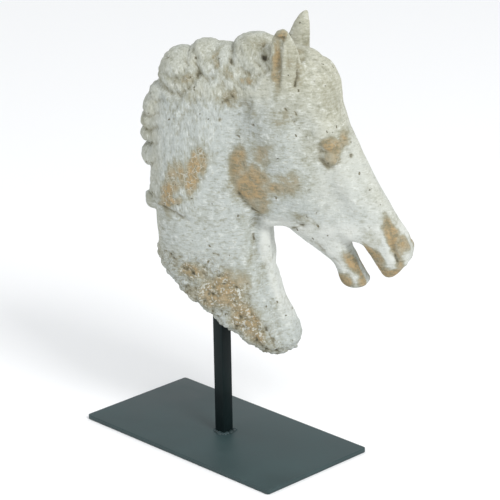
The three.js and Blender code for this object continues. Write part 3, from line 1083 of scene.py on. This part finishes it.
    def strokes(self) -> list[Stroke]:
        """List the grooves, ridges, pits and chips of the modelling.

        Returns:
            The strokes, each with its points, width, depth, side, and its soiling and painted shade.
        """
        right = Side.RIGHT
        return [
            # The edge of the cheek.
            Stroke(((20, 268), (17, 255), (19, 240), (24, 228), (30, 219)), 3.5, 1.0, grime_and_shade=0.1),
            Stroke(((24, 228), (30, 219), (38, 212), (48, 206), (58, 203)), 3.0, 1.8, grime_and_shade=0.0),
            Stroke(((34, 215), (39, 211.5)), 1.1, 0.7, right, 0.7),
            Stroke(((21, 262), (18, 250), (19, 240), (24, 230)), 3.5, 0.3, right, 0.4),
            # The edge of the jaw, with painted shade along its underside.
            Stroke(((62, 202), (68, 205), (76, 211), (86, 216), (96, 219)), 2.6, 1.0, grime_and_shade=0.0),
            Stroke(((72, 204.5), (77, 202)), 1.8, 1.2, right, 0.35),
            Stroke(((42, 207), (55, 200), (70, 196)), 1.6, 0.0, right, 0.4),
            Stroke(((86, 188), (94, 178), (101, 168)), 2.0, 0.0, grime_and_shade=0.4),
            Stroke(((66, 197), (72, 200), (78, 204)), 1.5, 0.4, right, 0.7),
            Stroke(((88, 186), (94, 180)), 1.4, 0.3, right, 0.5),
            Stroke(((101, 174), (105, 170)), 1.4, 0.3, right, 0.5),
            # The groove down the neck, the windpipe in front of it, and its lower end.
            Stroke(
                ((38, 206), (36, 190), (38, 175), (42, 160), (46, 145), (53, 128), (58, 108)),
                4.0,
                4.2,
                grime_and_shade=0.05,
            ),
            Stroke(
                ((47, 204), (45, 190), (46, 170), (53, 148), (60, 128), (66, 110)),
                6.0,
                -2.6,
                grime_and_shade=0.0,
            ),
            Stroke(((44, 118), (49, 108), (52, 99)), 1.6, 0.8, right, 0.6),
            Stroke(((39, 101), (46, 96), (55, 91)), 1.8, 0.8, right, 0.5),
            # The forelock and the root of the ear.
            Stroke(((77, 342), (76, 334), (74, 324)), 1.6, 2.0, grime_and_shade=0.4),
            Stroke(((77, 348), (83, 346)), 1.3, 1.0, grime_and_shade=0.4),
            Stroke(((76, 345), (89, 340), (97, 335)), 1.3, 1.1, grime_and_shade=0.25),
            Stroke(((83, 346), (90, 341), (99, 332)), 1.4, 1.0, grime_and_shade=0.15),
            Stroke(((79, 341), (86, 330), (90, 314)), 2.0, 1.0, grime_and_shade=0.1),
            Stroke(((86, 338), (95, 325), (99, 308)), 2.0, 0.9, grime_and_shade=0.1),
            Stroke(((68, 352), (69, 340)), 1.0, 0.6, right, 0.4),
            # The eye.
            Stroke(((94.5, 269.5), (102.5, 270), (110, 271)), 1.3, 0.9, grime_and_shade=0.2),
            Stroke(((91, 268), (94, 276), (101, 279.5), (107, 279)), 1.8, 0.6, grime_and_shade=0.0),
            Stroke(((93, 262), (97, 257), (104, 255.5), (110, 260), (115, 264)), 2.4, 0.8, grime_and_shade=0.0),
            Stroke(((104, 280), (109, 281.5), (113, 277), (114, 270)), 2.4, -1.5, right, 0.0),
            Stroke(((115.5, 264), (116, 262)), 1.0, 1.0, right, 0.6),
            Stroke(((93, 277), (93, 268), (96, 260), (103, 255)), 2.2, 0.3, grime_and_shade=0.4),
            Stroke(((108, 285), (114.5, 278), (113, 267), (108, 259)), 1.8, 0.2, grime_and_shade=0.3),
            # The muzzle, the lips and the corner of the mouth, with painted shade along the lips.
            Stroke(((143, 216), (148, 202), (152, 186), (155, 175)), 1.9, 1.1, grime_and_shade=0.3),
            Stroke(((153, 181), (155, 175)), 1.4, 0.8, grime_and_shade=0.35),
            Stroke(((156, 206), (163, 190), (160, 172)), 2.0, -1.6, grime_and_shade=0.0),
            Stroke(((113, 184), (112, 172), (111, 161)), 2.0, 0.9, grime_and_shade=0.1),
            Stroke(((106, 157), (113, 152), (123, 151)), 4.0, 0.0, grime_and_shade=0.8),
            Stroke(((120, 178), (124, 168), (127, 158)), 2.0, 0.3, grime_and_shade=0.35),
            Stroke(((142, 165), (150, 162), (158, 168)), 4.0, 0.0, grime_and_shade=0.4),
            Stroke(((114, 188), (118, 193), (127, 202)), 2.0, 0.8, grime_and_shade=0.05),
            # The mane's lower edge, with a broad band of painted shade under it.
            Stroke(((-46, 213.5), (-35, 211.5), (-28, 209), (-18, 204)), 2.2, 0.6, right, 0.1),
            Stroke(((-50, 217), (-38, 214), (-28, 211), (-21, 208)), 4.0, 0.5, right, 0.45),
            # The rolled locks on top.
            Stroke(
                ((-46, 318), (-36, 311), (-24, 309), (-14, 316), (-9, 326), (-13, 340), (-18, 347)),
                3.2,
                2.4,
                grime_and_shade=0.2,
            ),
            Stroke(((-9, 326), (2, 322), (12, 327), (17, 336), (16, 348)), 3.2, 2.2, grime_and_shade=0.2),
            Stroke(((17, 336), (28, 329), (40, 327), (50, 334)), 3.2, 2.0, grime_and_shade=0.2),
            Stroke(((-40, 334), (-28, 338), (-19, 331), (-22, 321), (-32, 321)), 2.4, 1.1, grime_and_shade=0.1),
            Stroke(((-8, 346), (2, 343), (7, 335), (1, 329)), 2.4, 1.1, grime_and_shade=0.15),
            Stroke(((24, 352), (36, 350), (46, 344)), 2.4, 1.0, grime_and_shade=0.1),
            Stroke(((26, 344), (34, 341), (42, 335)), 2.2, 0.9, grime_and_shade=0.1),
            # The locks that sweep forwards over the neck.
            Stroke(
                ((-6, 269), (-8, 285), (-3, 301), (2, 317), (10, 329), (21, 336), (31, 341)),
                4.5,
                -1.6,
                grime_and_shade=0.0,
            ),
            Stroke(((-26, 292), (-17, 308), (-9, 318), (-2, 331)), 4.0, -1.3, grime_and_shade=0.0),
            Stroke(((23, 309), (32, 313), (40, 312), (42, 305), (38, 297)), 3.5, -1.3, grime_and_shade=0.0),
            Stroke(((11, 319), (17, 312), (14, 304)), 4.5, 1.4, right, 0.55),
            Stroke(((27, 303), (31, 306), (35, 303)), 2.5, 1.0, right, 0.3),
            Stroke(((-26, 277), (-22, 292), (-12, 305)), 2.5, 0.7, grime_and_shade=0.15),
            # The small locks down the back.
            Stroke(((-56, 306), (-46, 300), (-40, 303)), 1.8, 1.5, grime_and_shade=0.05),
            Stroke(((-66, 288), (-54, 286), (-44, 291)), 2.4, 1.4, grime_and_shade=0.2),
            Stroke(((-67, 274), (-54, 275), (-45, 279)), 2.4, 1.5, grime_and_shade=0.2),
            Stroke(((-67, 261), (-54, 261), (-46, 266)), 2.4, 1.5, grime_and_shade=0.2),
            Stroke(((-58, 241), (-50, 246), (-45, 254)), 2.2, 1.0, grime_and_shade=0.05),
            Stroke(((-48, 238), (-45, 226), (-48, 216)), 2.4, 1.3, grime_and_shade=0.1),
            # Deep pits and chips, darkened inside with soiling and painted shadow.
            Stroke(((46, 342), (47, 342)), 2.6, 3.4, right, 1.2),
            Stroke(((44.5, 349.5), (44.5, 350)), 1.0, 1.2, right, 1.2),
            Stroke(((71.5, 299), (73.5, 292)), 1.1, 1.0, right, 0.45),
            Stroke(((37, 288.5), (39, 288.5)), 0.8, 1.0, right, 0.8),
            Stroke(((62, 301), (62.5, 301)), 1.4, 1.0, right, 0.5),
            Stroke(((77, 320.5), (77, 321)), 1.0, 1.2, right, 1.1),
            Stroke(((-13, 337), (-12.5, 337)), 1.0, 1.0, right, 0.9),
            Stroke(((36.5, 191), (37, 187)), 0.9, 0.9, right, 0.6),
            Stroke(((3, 176), (8, 174.5)), 0.8, 0.7, right, 0.45),
            Stroke(((-9, 238), (-4, 240)), 1.3, 1.0, right, 0.4),
            Stroke(((67, 305), (68, 304)), 1.2, 1.0, right, 0.9),
            Stroke(((75, 304), (75.5, 301)), 1.0, 1.0, right, 0.9),
            Stroke(((75, 296), (74, 294)), 1.1, 1.0, right, 0.9),
            Stroke(((9, 290), (11, 291)), 1.6, 0.7, right, 0.5),
            Stroke(((12, 305), (15, 306)), 1.5, 1.2, right, 0.6),
            Stroke(((20, 310), (21, 310)), 1.3, 1.2, right, 0.6),
        ]

    def patches(self) -> list[Patch]:
        """List the places where the wash is rubbed thin or through to the tan body, and a few where shade is
        painted as a stain.

        Returns:
            The patches, each with its middle, radii, tilt, amount and side.
        """
        right = Side.RIGHT
        return [
            # The cheek.
            Patch(25, 252, 9, 20, 8, 1.15, right),
            Patch(36, 237, 19, 21, 0, 1.1, right),
            Patch(61, 240, 23, 13, -6, 1.08, right),
            Patch(42, 221, 12, 14, 0, 0.9, right),
            Patch(49, 242, 12, 13, 0, 1.0, right),
            Patch(45, 262, 9, 13, 0, 0.6, right),
            # The side of the mane.
            Patch(-34, 230, 9, 24, 14, 1.05, right),
            Patch(-25, 238, 6, 22, 14, 0.8, right),
            Patch(-11, 246, 9, 22, 18, 1.1, right),
            Patch(-4, 250, 6, 15, 18, 0.8, right),
            Patch(-33, 217, 14, 3.5, -18, 1.3, right),
            # The crest and its locks, rubbed thin; the broad patches under the big roll at the back are
            # painted shade, laid as stain.
            Patch(12, 332, 12, 5, 35, 0.65, right),
            Patch(31, 325, 10, 4.5, -8, 0.8, right),
            Patch(18, 308, 11, 9, 0, 0.5, right),
            Patch(36, 300, 10, 14, -20, 0.35, right),
            Patch(4, 342, 4, 8, 20, 0.6, right),
            Patch(-28, 312, 18, 7, 10, 0.2, right),
            Patch(38, 348, 12, 9, 0, 0.35, right),
            Patch(-42, 316, 16, 10, 0, 0.2, right),
            Patch(0, 340, 14, 10, 0, 0.2, right),
            Patch(34, 345, 14, 10, 0, 0.2, right),
            Patch(-18, 322, 18, 7, -20, 0.35, right),
            Patch(-58, 280, 8, 30, 0, 0.35),
            Patch(-58, 214, 8, 10, 0, 0.4),
            # The face, the temple and the jaw, rubbed thin.
            Patch(52, 268, 16, 22, 20, 0.32, right),
            Patch(63, 296, 12, 10, 0, 0.45, right),
            Patch(80, 288, 7, 18, -25, 0.42, right),
            Patch(84, 262, 8, 10, 0, 0.35, right),
            Patch(100, 312, 8, 24, -10, 0.35, right),
            Patch(80, 207, 16, 4, 28, 0.45, right),
            Patch(134, 196, 6, 10, -30, 0.4, right),
            # The forelock.
            Patch(78, 335, 6, 14, 0, 0.4, right),
            Patch(72, 346, 6, 20, 0, 0.5, right),
            # The neck, rubbed thin; the two narrow strips just behind the groove down the neck are painted
            # shade.
            Patch(30, 180, 6, 28, 0, 0.3, right),
            Patch(36, 150, 6, 16, 20, 0.3, right),
            Patch(-38, 166, 12, 14, 0, 0.15),
            Patch(-22, 136, 22, 8, -36, 0.5),
            Patch(44, 94, 10, 9, 0, 0.25),
            Patch(28, 208, 5, 12, 0, 0.35, right),
            # The break.
            Patch(11, 144, 24, 17, -32, 1.35),
            Patch(29, 121, 13, 18, -20, 1.35),
            Patch(-14, 160, 14, 9, 0, 1.1),
            Patch(37, 106, 9, 9, 0, 1.0),
            Patch(18, 144, 12, 8, 0, 1.3, right),
            Patch(56, 96, 12, 10, 0, 0.1),
            # The eye.
            Patch(102.5, 274, 9.5, 6.5, 0, 1.25),
            Patch(103, 264, 7, 8, 0, 0.9),
            Patch(111, 277, 4.5, 8, 15, 0.9),
            # The nostril, the lips and the chin.
            Patch(151, 194, 5.0, 20, -18, 1.4),
            Patch(158, 189, 6.5, 9, -15, 1.15),
            Patch(155, 172, 6, 8, 0, 1.0),
            Patch(137, 177, 5, 18, -34, 1.2),
            Patch(149, 163, 9, 5.5, 0, 1.3),
            Patch(119, 167, 5, 17, -34, 1.4),
            Patch(125, 154, 6, 6, 0, 1.2),
            Patch(108, 156, 7, 8, 0, 1.4),
            # The ears.
            Patch(59, 341, 5.5, 26, 0, 1.0),
            Patch(63, 363, 7, 5, 0, 1.1),
            # The far side.
            Patch(40, 250, 12, 20, 25, 0.8, Side.LEFT),
            Patch(-12, 240, 8, 24, 12, 0.8, Side.LEFT),
            Patch(10, 320, 16, 5, 20, 0.6, Side.LEFT),
        ]

    def gradient(self, points: np.ndarray) -> np.ndarray:
        """Work out how fast the distance changes.

        Args:
            points: Places in the head's own millimetres, one row each.

        Returns:
            The change at each point along each axis.
        """
        slope = np.empty_like(points)
        for axis in range(3):
            offset = np.eye(3)[axis] * self.slope_step
            change = self.distance(points + offset) - self.distance(points - offset)
            slope[:, axis] = change / (2 * self.slope_step)
        return slope

    def build(self) -> bpy.types.Object:
        """Make the head's mesh with its relief, its rubbing, and the painted shade and light in its finish.

        Returns:
            The head, at its place in the frame.
        """
        points, quads = SurfaceNet(self.room_low, self.room_high, self.cell).extract(self.distance)
        log.info("horse_head: %d points, %d quads", len(points), len(quads))
        for _ in range(2):  # draw the points right onto the skin
            slope = self.gradient(points)
            steep = np.maximum((slope**2).sum(axis=1), 0.1)
            points -= slope * np.clip(self.distance(points) / steep, -0.6, 0.6)[:, None]
        slope = self.gradient(points)
        normals = slope / np.maximum(np.linalg.norm(slope, axis=1), TINY)[:, None]
        sunk, grime_and_shade = self.relief(points, normals)
        points -= normals * sunk[:, None]
        # The hollows are darkened by how deep they lie: soiling and painted shade, like ambient occlusion.
        below_ears = np.interp(points[:, 2], [335.0, 350.0], [1.0, 0.3])
        grime_and_shade = np.clip(grime_and_shade + self.hollowness(points, quads, normals) * below_ears, -0.5, 1.4)
        c, s = math.cos(HEAD_TURN), math.sin(HEAD_TURN)
        turned = points @ np.array([[c, s, 0.0], [-s, c, 0.0], [0.0, 0.0, 1.0]]) * MM
        mesh = bpy.data.meshes.new("horse_head_cast")
        mesh.from_pydata(turned.tolist(), [], quads.tolist())
        finish = {
            "worn_and_shaded": self.wear_and_shade(points, normals),
            "grime_and_shade": grime_and_shade,
            "warm": self.warmth(points),
            "hair": self.mane(points),
            "grit": self.broken(points),
            "smooth_and_lit": self.smooth_and_lit(points),
        }
        for name, values in finish.items():
            layer = mesh.attributes.new(name, "FLOAT", "POINT")
            layer.data.foreach_set("value", values.astype(np.float32))
        shade_smooth(mesh)
        mesh.materials.append(Limewash().material())
        return link_object("horse_head_cast", mesh)

    @staticmethod
    def hollowness(points: np.ndarray, quads: np.ndarray, normals: np.ndarray) -> np.ndarray:
        """How deep each point lies in a hollow: positive there, negative on a crest.

        Args:
            points: The skin's points.
            quads: Its faces.
            normals: Its outward directions.

        Returns:
            One value for each point.
        """
        fine, broad = (3, 0.8), (12, 0.3)  # turns of smoothing, and the share of what they took away
        start = np.concatenate([quads[:, k] for k in range(4)])
        end = np.concatenate([quads[:, (k + 1) % 4] for k in range(4)])
        count = np.bincount(start, minlength=len(points))[:, None]
        smooth = points.copy()
        result = np.zeros(len(points))
        for turn in range(1, broad[0] + 1):
            total = np.stack([np.bincount(start, smooth[end, k], len(points)) for k in range(3)], axis=1)
            smooth = 0.4 * smooth + 0.6 * total / count
            for turns, share in (fine, broad):
                if turn == turns:
                    result += ((smooth - points) * normals).sum(axis=1) * share
        return result

    def relief(self, points: np.ndarray, normals: np.ndarray) -> tuple[np.ndarray, np.ndarray]:
        """Work out the fine modelling.

        Args:
            points: The skin's points.
            normals: Its outward directions.

        Returns:
            How far each point is sunk in, and how much soiling and painted shade lies there.
        """
        x, y, z = points.T
        sunk = np.zeros(len(points))
        grime_and_shade = np.zeros(len(points))
        warped = points + 2.0 * np.stack([noise(points, 14.0, 3 + k) for k in range(3)], axis=1)
        # Each stroke lays its soiling and painted shade along the groove.
        for stroke in self.strokes():
            facing = normals[:, 1] * (stroke.side.value or np.sign(y))
            on = stroke.weight(warped[:, 0], warped[:, 2]) * ease(-0.1, 0.35, facing)
            sunk += stroke.depth * on
            grime_and_shade = np.maximum(grime_and_shade, stroke.grime_and_shade * on)
        grime_and_shade *= 0.75 + 0.9 * noise(points, 6.0, 12)

        # The mane stands proud, with broad rolled strands and fine hairs on them.
        hair = self.mane(points)
        sunk -= self.mane_rise * self.mane(points, 16.0, -26.0)
        across = x - 0.8 * np.abs(y) + 0.32 * z + 5.0 * np.sin(z / 17.0) + 4.0 * noise(points, 26.0, 11)
        strand = np.sin(across * 2 * math.pi / self.strand_width)
        sunk += hair * (self.strand_depth + 0.3 * noise(points, 18.0, 13)) * strand
        fine = np.sin(across * 2 * math.pi / self.hair_width + 6.0 * noise(points, 20.0, 14))
        sunk += self.hair_depth * hair * fine

        # The locks along the crest are lumpy.
        behind = ease(-36.0, -46.0, x) * ease(206.0, 214.0, z)
        on_top = ease(316.0, 330.0, z) * ease(58.0, 48.0, x)
        lumps = 1.1 * noise(points, 7.0, 15) + 1.2 * noise(points, 13.0, 16)
        sunk += np.maximum(behind, on_top) * lumps

        # The break is rough and dirty, and the rest a little uneven.
        rough = self.broken(points)
        sunk += rough * (2.9 * noise(points, 8.0, 21, 4) + 2.1 * noise(points, 3.4, 22, 2))
        sunk += 0.8 * noise(points, 15.0, 23, 4) + 0.3 * hair * noise(points, 6.0, 25)
        grime_and_shade += 0.62 * rough * ease(0.02, 0.5, noise(points, 4.4, 24, 2))
        return sunk, np.clip(grime_and_shade, 0.0, 1.3)

    def mane(self, points: np.ndarray, ahead: float = 4.0, behind: float = -8.0) -> np.ndarray:
        """How much of each point is mane.

        Args:
            points: Places on the head.
            ahead: How far in front of the mane's edge it begins.
            behind: Where it is full.

        Returns:
            1 on the crest and the side that it falls on, 0 off it.
        """
        x, _, z = points.T
        edge = np.interp(z, [205, 225, 255, 290, 305, 320, 345], [-16, -4, 4, 14, 24, 44, 60])
        ledge = np.interp(x, [-60, -42, -35, -28, -20, -12], [214, 214.5, 212.5, 210, 205.5, 204])
        return ease(ahead, behind, x - edge) * ease(-2.4, 1.4, z - ledge)

    def broken(self, points: np.ndarray) -> np.ndarray:
        """Work out how rough each point is.

        Args:
            points: Places on the head.

        Returns:
            1 on the break under the neck and in the chipped skin over it, 0 off it.
        """
        x, _, z = points.T
        reach = np.interp(x, [-50, -20, 10, 30, 45, 60], [16, 32, 53, 48, 28, 20])
        return ease(1.15, 0.7, self.above_break(x, z) / reach + 0.25 * noise(points, 12.0, 31))

    def smooth_and_lit(self, points: np.ndarray) -> np.ndarray:
        """Work out how smooth and pale the wash is, paler as a painted highlight where the windpipe and the
        face turn towards the lamp.

        Args:
            points: Places on the head.

        Returns:
            Most on the windpipe, in front of the groove down the neck, and some on the face.
        """
        x, _, z = points.T
        groove = np.interp(z, [108, 122, 143, 166, 182, 196, 211], [57, 53, 46.5, 39, 37, 38, 39])
        windpipe = ease(-1.0, 4.0, x - groove) * ease(216.0, 200.0, z) * ease(104.0, 128.0, z)
        face = ease(84.0, 100.0, x) * ease(290.0, 262.0, z) * ease(172.0, 205.0, z)
        return np.maximum(0.75 * windpipe, 0.3 * face) * (0.8 + 0.5 * noise(points, 9.0, 27))

    def warmth(self, points: np.ndarray) -> np.ndarray:
        """Work out how thin and creamy the wash is.

        Args:
            points: Places on the head.

        Returns:
            Most on the brow, the ears, the rolled locks and the crest.
        """
        x, _, z = points.T
        across = ease(20.0, 130.0, x + 0.8 * (z - 300.0) + 40.0 * noise(points, 34.0, 8))
        locks = np.maximum(ease(-36.0, -52.0, x), ease(300.0, 316.0, z) * ease(66.0, 50.0, x))
        return np.maximum(across, locks * (0.48 + 0.5 * noise(points, 16.0, 9)))

    def wear_and_shade(self, points: np.ndarray, normals: np.ndarray) -> np.ndarray:
        """Work out how far the wash is rubbed through, and where the few patches of painted shade lie.

        Args:
            points: Places on the head.
            normals: The skin's outward directions there.

        Returns:
            The rubbing of each point: 0 is sound and 1 is rubbed through; the patches of painted shade count
                the same way.
        """
        x, y, z = points.T
        warped = points + 5.0 * np.stack([noise(points, 12.0, 41 + k) for k in range(3)], axis=1)
        worn_and_shaded = np.zeros(len(points))
        for patch in self.patches():
            facing = normals[:, 1] * (patch.side.value or np.sign(y))
            worn_and_shaded = np.maximum(worn_and_shaded, patch.weight(warped[:, 0], warped[:, 2]) * ease(-0.1, 0.3, facing))
        streaks = np.stack([x / 2.2 + z / 7.0, y / 2.2, z / 9.0], axis=1)
        brushed = noise(streaks, 1.6, 51, 2)
        worn_and_shaded *= 1.0 + 0.55 * noise(points, 7.0, 44, 3) + 0.5 * self.mane(points) * brushed
        worn_and_shaded += 0.38 * noise(points, 20.0, 45, 4) + 0.12 * self.mane(points) * brushed
        return worn_and_shaded


# ---------------------------------------------------------------------------------------------------------
# The stand
# ---------------------------------------------------------------------------------------------------------


@dataclass(frozen=True)
class Stand:
    """The square bar, the plate that it is welded to, and the weld: a bead of overlapping ripples, each a
    little astray and of its own size. The laps are shares of the bead's width and of its pitch."""

    bar_edge: float = 0.7 * MM
    plate_edge: float = 0.5 * MM
    bead_width: float = 3.6 * MM
    bead_height: float = 1.9 * MM
    bead_pitch: float = 2.3 * MM
    bead_corner: float = 2.0 * MM
    bead_lap: float = 0.28
    ripple_lap: float = 1.1
    ripple_sizes: tuple[float, float] = (0.6, 1.3)
    stray_low: tuple[float, float, float] = (-0.7 * MM, -0.7 * MM, -0.3 * MM)
    stray_high: tuple[float, float, float] = (0.9 * MM, 0.7 * MM, 0.1 * MM)

    def bevelled_copy(self, node: str, name: str, width: float) -> bpy.types.Object:
        """Copy a piece of the frame and round its edges.

        Args:
            node: The frame's piece.
            name: The new piece's name.
            width: The rounding's width.

        Returns:
            The new piece.
        """
        form = bmesh.new()
        form.from_mesh(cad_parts[node].data)
        bmesh.ops.remove_doubles(form, verts=form.verts, dist=0.01 * MM)
        bmesh.ops.dissolve_limit(form, angle_limit=math.radians(3), verts=form.verts, edges=form.edges)
        sharp = [e for e in form.edges if e.calc_face_angle(0.0) > math.radians(40)]
        edges = {"affect": "EDGES", "segments": 3, "profile": 0.5, "clamp_overlap": True}
        bmesh.ops.bevel(form, geom=sharp, offset=width, **edges)
        mesh = bpy.data.meshes.new(name)
        form.to_mesh(mesh)
        form.free()
        shade_smooth(mesh)
        mesh.set_sharp_from_angle(angle=math.radians(35))
        return link_object(name, mesh)

    def build_plate(self) -> bpy.types.Object:
        """Make the plate with its edges eased, and dress it.

        Returns:
            The plate.
        """
        plate = self.bevelled_copy("base_plate", "steel_plate", self.plate_edge)
        paint = SatinPaint("plate_paint", "#2c3d3e", "#394b4c", roughness=0.36)
        plate.data.materials.append(paint.material())
        return plate

    def build_bar(self) -> bpy.types.Object:
        """Make the bar with its corners eased, and dress it.

        Returns:
            The bar.
        """
        bar = self.bevelled_copy("stand_rod", "square_bar", self.bar_edge)
        paint = SatinPaint("bar_paint", "#0b1617", "#152324", roughness=0.42, cloud_mm=25.0, shine=0.14)
        bar.data.materials.append(paint.material())
        return bar

    def build_weld(self) -> bpy.types.Object:
        """Lay the weld's ripples round the foot of the bar with geometry nodes.

        Returns:
            The weld, as a plain mesh.
        """
        low, high = (Vector(corner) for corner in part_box("stand_rod"))
        middle = (low + high) / 2
        around = high.x - low.x + 2 * self.bead_width * self.bead_lap
        tree = bpy.data.node_groups.new("weld_ripples", "GeometryNodeTree")
        sizes = {"Pitch": self.bead_pitch, "Width": self.bead_width, "Height": self.bead_height}
        for name, value in sizes.items():
            item = tree.interface.new_socket(name, in_out="INPUT", socket_type="NodeSocketFloat")
            item.default_value = value
        tree.interface.new_socket("Geometry", in_out="OUTPUT", socket_type="NodeSocketGeometry")
        given = add_node(tree, "NodeGroupInput").outputs

        # Spots along a square path with round corners, each a little astray.
        path = {"Width": around, "Height": around}
        path = add_node(tree, "GeometryNodeCurvePrimitiveQuadrilateral", path).outputs[0]
        path = {"Curve": path, "Radius": self.bead_corner}
        path = add_node(tree, "GeometryNodeFilletCurve", path, mode="POLY").outputs[0]
        spots = {"Curve": path, "Length": given["Pitch"]}
        spots = add_node(tree, "GeometryNodeCurveToPoints", spots, mode="LENGTH").outputs
        astray = {0: self.stray_low, 1: self.stray_high, "Seed": 7}
        astray = add_node(tree, "FunctionNodeRandomValue", astray, data_type="FLOAT_VECTOR").outputs[0]
        strayed = {"Geometry": spots["Points"], "Offset": astray}
        strayed = add_node(tree, "GeometryNodeSetPosition", strayed).outputs[0]

        # A ripple on each: as long as the pitch with a lap, as wide and as high as the bead, and larger or
        # smaller by chance.
        ripple = {"Radius": 1.0, "Subdivisions": 3}
        ripple = add_node(tree, "GeometryNodeMeshIcoSphere", ripple).outputs[0]
        length, width = (
            add_node(tree, "ShaderNodeMath", {0: given[name], 1: share}, operation="MULTIPLY").outputs[0]
            for name, share in (("Pitch", self.ripple_lap), ("Width", 0.5))
        )
        size = {"X": length, "Y": width, "Z": given["Height"]}
        size = add_node(tree, "ShaderNodeCombineXYZ", size).outputs[0]
        least, most = self.ripple_sizes
        chance = {2: least, 3: most, "Seed": 5}
        chance = add_node(tree, "FunctionNodeRandomValue", chance, data_type="FLOAT").outputs[1]
        size = {0: size, "Scale": chance}
        size = add_node(tree, "ShaderNodeVectorMath", size, operation="SCALE").outputs[0]
        laid = {"Points": strayed, "Instance": ripple, "Rotation": spots["Rotation"], "Scale": size}
        laid = add_node(tree, "GeometryNodeInstanceOnPoints", laid).outputs[0]
        placed = {"Geometry": laid, "Translation": (middle.x, middle.y, low.z)}
        placed = add_node(tree, "GeometryNodeTransform", placed).outputs[0]
        real = add_node(tree, "GeometryNodeRealizeInstances", {0: placed}).outputs[0]
        # the weld's lighter clouds are painted highlights on the ripples as well as dusting
        paint = SatinPaint("weld_paint", "#182526", "#46575a", roughness=0.4, cloud_mm=8.0).material()
        dressed = {"Geometry": real, "Material": paint}
        dressed = add_node(tree, "GeometryNodeSetMaterial", dressed).outputs[0]
        add_node(tree, "NodeGroupOutput", {0: dressed})
        holder = link_object("weld_form", bpy.data.meshes.new("weld_form"))
        holder.modifiers.new("ripples", "NODES").node_group = tree
        made = holder.evaluated_get(bpy.context.evaluated_depsgraph_get())
        mesh = bpy.data.meshes.new_from_object(made)
        bpy.data.objects.remove(holder)
        shade_smooth(mesh)
        mesh.name = "weld_ripples"
        return link_object("weld_ripples", mesh)


# ---------------------------------------------------------------------------------------------------------
# The scene
# ---------------------------------------------------------------------------------------------------------


def put(piece: bpy.types.Object, node: str) -> None:
    """Let a finished piece stand for a node of the frame, and report it.

    Args:
        piece: The finished piece.
        node: The frame's node, which is hidden.
    """
    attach(piece, "root")
    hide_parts(node)
    log.info("%s: %d faces", piece.name, len(piece.data.polygons))


def main() -> None:
    """Build the studio and every piece."""
    logging.basicConfig(level=logging.INFO, format="%(name)s %(message)s")
    studio = Studio()
    studio.place_camera()
    studio.lay_floor()
    studio.light()
    stand = Stand()
    put(stand.build_plate(), "base_plate")
    put(stand.build_bar(), "stand_rod")
    put(stand.build_weld(), "weld_bead")
    put(HorseHead().build(), "horse_head")


if __name__ == "__main__":
    main()
